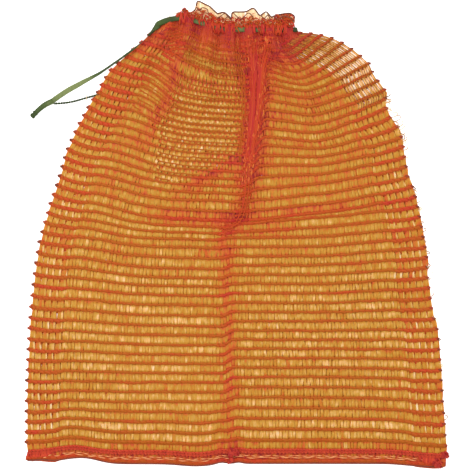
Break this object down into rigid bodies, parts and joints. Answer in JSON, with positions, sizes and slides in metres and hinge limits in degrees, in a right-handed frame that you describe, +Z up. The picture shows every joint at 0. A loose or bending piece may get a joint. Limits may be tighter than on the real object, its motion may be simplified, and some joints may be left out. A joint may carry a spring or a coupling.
{
  "type": "empty mesh sack with drawstring",
  "caption": "Empty orange knitted mesh sack lying flat, gathered at the mouth by a green drawstring whose tied tail lies beside it, with a sewn hem.",
  "frame": {"origin": "on the surface the sack lies on, under the middle of the sack's footprint without its free string", "axes": "+X across the sack to the right, +Y from the sewn hem to the mouth, +Z up out of the shown face"},
  "size_m": [0.4, 0.4394, 0.0122],
  "materials": {
    "orange_net": "knitted plastic tape, satin",
    "red_thread": "overlock thread, satin",
    "green_tape": "flat woven-film tape, satin"
  },
  "bodies": {
    "root": {"net_sack": "orange_net", "hem_seam": "red_thread", "drawstring_mouth": "green_tape", "drawstring_tail": "green_tape", "drawstring_return": "green_tape", "drawstring_knot": "green_tape"}
  },
  "joints": []
}
